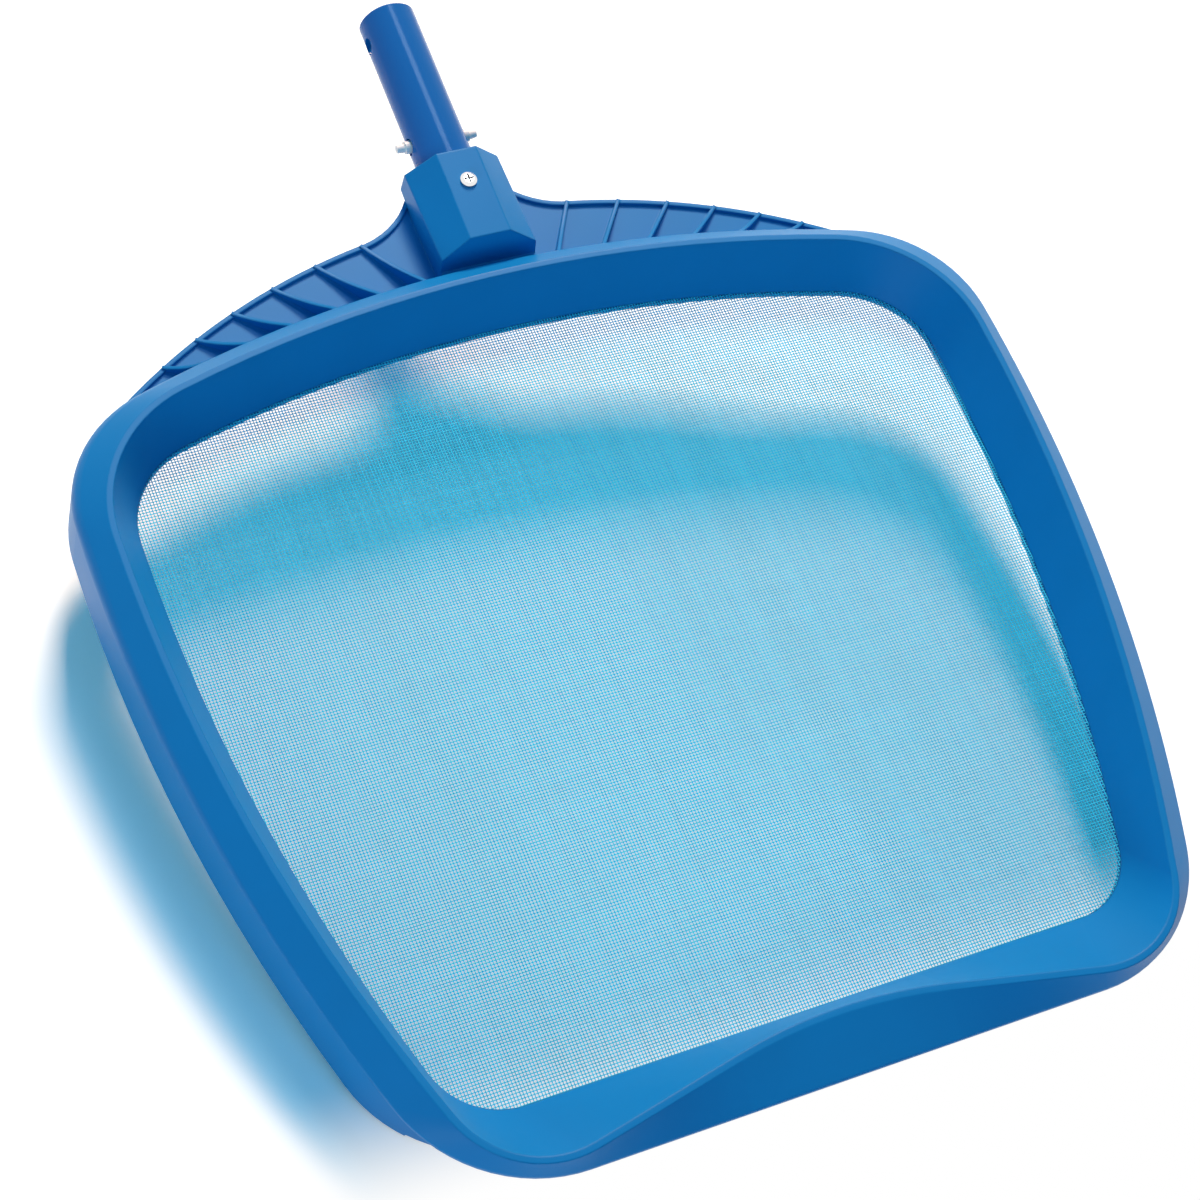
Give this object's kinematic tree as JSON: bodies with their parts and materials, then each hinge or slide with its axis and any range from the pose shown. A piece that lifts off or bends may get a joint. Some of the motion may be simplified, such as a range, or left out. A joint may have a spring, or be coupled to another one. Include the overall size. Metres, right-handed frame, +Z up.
{
  "type": "leaf skimmer net",
  "caption": "Flat leaf skimmer head for pools: a moulded hoop with a scoop lip holds a fine net, and a sprung clip locks its handle tube into a pole.",
  "frame": {"origin": "on the plane that the skirt's foot rests on, on the middle line, inside the net opening", "axes": "+Z up out of the tray, +Y towards the handle and the pole, +X to the right when looking along +Y"},
  "size_m": [0.4568, 0.5698, 0.0497],
  "materials": {
    "blue_frame": "satin moulded polypropylene",
    "net_mesh": "fine plain-woven monofilament mesh",
    "blue_tube": "gloss plastic",
    "screw_steel": "bright plated steel",
    "white_clip": "satin acetal"
  },
  "bodies": {
    "head": {"frame": "blue_frame", "net": "net_mesh", "handle_tube": "blue_tube", "handle_screw": "screw_steel", "clip_bend": "white_clip"},
    "right_arm": {"clip_arm_right": "white_clip"},
    "left_arm": {"clip_arm_left": "white_clip"}
  },
  "joints": [
    {"name": "right_button_press", "type": "hinge", "parent": "head", "child": "right_arm", "pos_m": [0.004, 0.29631, 0.03354], "axis": [0, -0.0785, 0.9969], "range_deg": [-8.4, 0], "stiffness_Nm_per_rad": 0.9},
    {"name": "left_button_press", "type": "hinge", "parent": "head", "child": "left_arm", "pos_m": [-0.004, 0.29631, 0.03354], "axis": [0, -0.0785, 0.9969], "range_deg": [0, 8.4], "stiffness_Nm_per_rad": 0.9}
  ]
}
